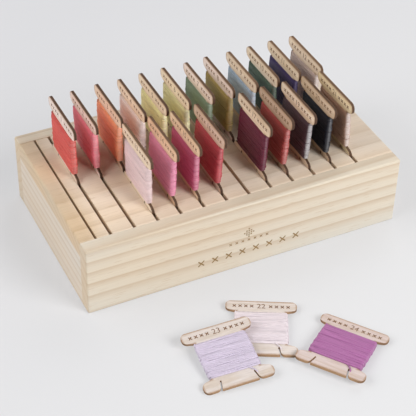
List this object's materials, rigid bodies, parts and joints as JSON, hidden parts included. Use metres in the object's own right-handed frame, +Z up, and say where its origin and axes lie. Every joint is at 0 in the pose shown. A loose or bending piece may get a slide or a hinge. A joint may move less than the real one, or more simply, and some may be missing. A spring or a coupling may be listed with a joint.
{
  "type": "thread bobbin box",
  "caption": "Pine box whose grooved top holds flat floss bobbins upright in two rows, with a few loose bobbins lying in front of it.",
  "frame": {"origin": "middle of the box's underside", "axes": "+X along the long front to the right, +Y from the front to the back, +Z up"},
  "size_m": [0.183, 0.2079, 0.0758],
  "materials": {
    "pine": "planed and sanded, bare",
    "base_plywood": "sanded plywood",
    "beech_dowel": "turned, glued in",
    "bobbin_plywood": "fine plywood with dark cut edges",
    "coral_floss": "stranded cotton, soft sheen",
    "raspberry_floss": "stranded cotton, soft sheen",
    "orange_floss": "stranded cotton, soft sheen",
    "dusty_rose_floss": "stranded cotton, soft sheen",
    "yellow_floss": "stranded cotton, soft sheen",
    "lime_floss": "stranded cotton, soft sheen",
    "teal_floss": "stranded cotton, soft sheen",
    "olive_floss": "stranded cotton, soft sheen",
    "steel_blue_floss": "stranded cotton, soft sheen",
    "forest_green_floss": "stranded cotton, soft sheen",
    "indigo_floss": "stranded cotton, soft sheen",
    "taupe_floss": "stranded cotton, soft sheen",
    "blush_floss": "stranded cotton, soft sheen",
    "magenta_floss": "stranded cotton, soft sheen",
    "crimson_floss": "stranded cotton, soft sheen",
    "scarlet_floss": "stranded cotton, soft sheen",
    "burgundy_floss": "stranded cotton, soft sheen",
    "brick_floss": "stranded cotton, soft sheen",
    "aubergine_floss": "stranded cotton, soft sheen",
    "navy_floss": "stranded cotton, soft sheen",
    "chocolate_floss": "stranded cotton, soft sheen",
    "shell_pink_floss": "stranded cotton, soft sheen",
    "lilac_floss": "stranded cotton, soft sheen",
    "violet_floss": "stranded cotton, soft sheen"
  },
  "bodies": {
    "box": {"front_board": "pine", "rear_board": "pine", "left_end_board": "pine", "right_end_board": "pine", "slotted_top": "pine", "base_panel": "base_plywood", "corner_dowels": "beech_dowel"},
    "coral_bobbin": {"coral_card": "bobbin_plywood", "coral_floss": "coral_floss"},
    "raspberry_bobbin": {"raspberry_card": "bobbin_plywood", "raspberry_floss": "raspberry_floss"},
    "orange_bobbin": {"orange_card": "bobbin_plywood", "orange_floss": "orange_floss"},
    "dusty_rose_bobbin": {"dusty_rose_card": "bobbin_plywood", "dusty_rose_floss": "dusty_rose_floss"},
    "yellow_bobbin": {"yellow_card": "bobbin_plywood", "yellow_floss": "yellow_floss"},
    "lime_bobbin": {"lime_card": "bobbin_plywood", "lime_floss": "lime_floss"},
    "teal_bobbin": {"teal_card": "bobbin_plywood", "teal_floss": "teal_floss"},
    "olive_bobbin": {"olive_card": "bobbin_plywood", "olive_floss": "olive_floss"},
    "steel_blue_bobbin": {"steel_blue_card": "bobbin_plywood", "steel_blue_floss": "steel_blue_floss"},
    "forest_green_bobbin": {"forest_green_card": "bobbin_plywood", "forest_green_floss": "forest_green_floss"},
    "indigo_bobbin": {"indigo_card": "bobbin_plywood", "indigo_floss": "indigo_floss"},
    "taupe_bobbin": {"taupe_card": "bobbin_plywood", "taupe_floss": "taupe_floss"},
    "blush_bobbin": {"blush_card": "bobbin_plywood", "blush_floss": "blush_floss"},
    "magenta_bobbin": {"magenta_card": "bobbin_plywood", "magenta_floss": "magenta_floss"},
    "crimson_bobbin": {"crimson_card": "bobbin_plywood", "crimson_floss": "crimson_floss"},
    "scarlet_bobbin": {"scarlet_card": "bobbin_plywood", "scarlet_floss": "scarlet_floss"},
    "burgundy_bobbin": {"burgundy_card": "bobbin_plywood", "burgundy_floss": "burgundy_floss"},
    "brick_bobbin": {"brick_card": "bobbin_plywood", "brick_floss": "brick_floss"},
    "aubergine_bobbin": {"aubergine_card": "bobbin_plywood", "aubergine_floss": "aubergine_floss"},
    "navy_bobbin": {"navy_card": "bobbin_plywood", "navy_floss": "navy_floss"},
    "chocolate_bobbin": {"chocolate_card": "bobbin_plywood", "chocolate_floss": "chocolate_floss"},
    "shell_pink_bobbin": {"shell_pink_card": "bobbin_plywood", "shell_pink_floss": "shell_pink_floss"},
    "lilac_bobbin": {"lilac_card": "bobbin_plywood", "lilac_floss": "lilac_floss"},
    "violet_bobbin": {"violet_card": "bobbin_plywood", "violet_floss": "violet_floss"}
  },
  "joints": [
    {"name": "coral_lift", "type": "slide", "parent": "box", "child": "coral_bobbin", "axis": [-0.0143, 0, 0.9999], "range_m": [0, 0.042]},
    {"name": "raspberry_lift", "type": "slide", "parent": "box", "child": "raspberry_bobbin", "axis": [-0.0429, 0, 0.9991], "range_m": [0, 0.042]},
    {"name": "orange_lift", "type": "slide", "parent": "box", "child": "orange_bobbin", "axis": [-0.0095, 0, 1], "range_m": [0, 0.042]},
    {"name": "dusty_rose_lift", "type": "slide", "parent": "box", "child": "dusty_rose_bobbin", "axis": [-0.0095, 0, 1], "range_m": [0, 0.042]},
    {"name": "yellow_lift", "type": "slide", "parent": "box", "child": "yellow_bobbin", "axis": [-0.0191, 0, 0.9998], "range_m": [0, 0.042]},
    {"name": "lime_lift", "type": "slide", "parent": "box", "child": "lime_bobbin", "axis": [-0.0167, 0, 0.9999], "range_m": [0, 0.042]},
    {"name": "teal_lift", "type": "slide", "parent": "box", "child": "teal_bobbin", "axis": [0, 0, 1], "range_m": [0, 0.042]},
    {"name": "olive_lift", "type": "slide", "parent": "box", "child": "olive_bobbin", "axis": [-0.0191, 0, 0.9998], "range_m": [0, 0.042]},
    {"name": "steel_blue_lift", "type": "slide", "parent": "box", "child": "steel_blue_bobbin", "axis": [0.0048, 0, 1], "range_m": [0, 0.042]},
    {"name": "forest_green_lift", "type": "slide", "parent": "box", "child": "forest_green_bobbin", "axis": [0, 0, 1], "range_m": [0, 0.042]},
    {"name": "indigo_lift", "type": "slide", "parent": "box", "child": "indigo_bobbin", "axis": [0.0119, 0, 0.9999], "range_m": [0, 0.042]},
    {"name": "taupe_lift", "type": "slide", "parent": "box", "child": "taupe_bobbin", "axis": [0.0214, 0, 0.9998], "range_m": [0, 0.042]},
    {"name": "blush_lift", "type": "slide", "parent": "box", "child": "blush_bobbin", "axis": [-0.0143, 0, 0.9999], "range_m": [0, 0.042]},
    {"name": "magenta_lift", "type": "slide", "parent": "box", "child": "magenta_bobbin", "axis": [0.0286, 0, 0.9996], "range_m": [0, 0.042]},
    {"name": "crimson_lift", "type": "slide", "parent": "box", "child": "crimson_bobbin", "axis": [0.0095, 0, 1], "range_m": [0, 0.042]},
    {"name": "scarlet_lift", "type": "slide", "parent": "box", "child": "scarlet_bobbin", "axis": [0.0476, 0, 0.9989], "range_m": [0, 0.042]},
    {"name": "burgundy_lift", "type": "slide", "parent": "box", "child": "burgundy_bobbin", "axis": [0.0476, 0, 0.9989], "range_m": [0, 0.042]},
    {"name": "brick_lift", "type": "slide", "parent": "box", "child": "brick_bobbin", "axis": [0.0476, 0, 0.9989], "range_m": [0, 0.042]},
    {"name": "aubergine_lift", "type": "slide", "parent": "box", "child": "aubergine_bobbin", "axis": [0.0476, 0, 0.9989], "range_m": [0, 0.042]},
    {"name": "navy_lift", "type": "slide", "parent": "box", "child": "navy_bobbin", "axis": [0.0286, 0, 0.9996], "range_m": [0, 0.042]},
    {"name": "chocolate_lift", "type": "slide", "parent": "box", "child": "chocolate_bobbin", "axis": [-0.0476, 0, 0.9989], "range_m": [0, 0.042]},
    {"name": "shell_pink_lift", "type": "slide", "parent": "box", "child": "shell_pink_bobbin", "axis": [0, 0, 1], "range_m": [0, 0.042]},
    {"name": "lilac_lift", "type": "slide", "parent": "shell_pink_bobbin", "child": "lilac_bobbin", "axis": [0, 0, 1], "range_m": [0, 0.042]},
    {"name": "violet_lift", "type": "slide", "parent": "shell_pink_bobbin", "child": "violet_bobbin", "axis": [0, 0, 1], "range_m": [0, 0.042]}
  ]
}
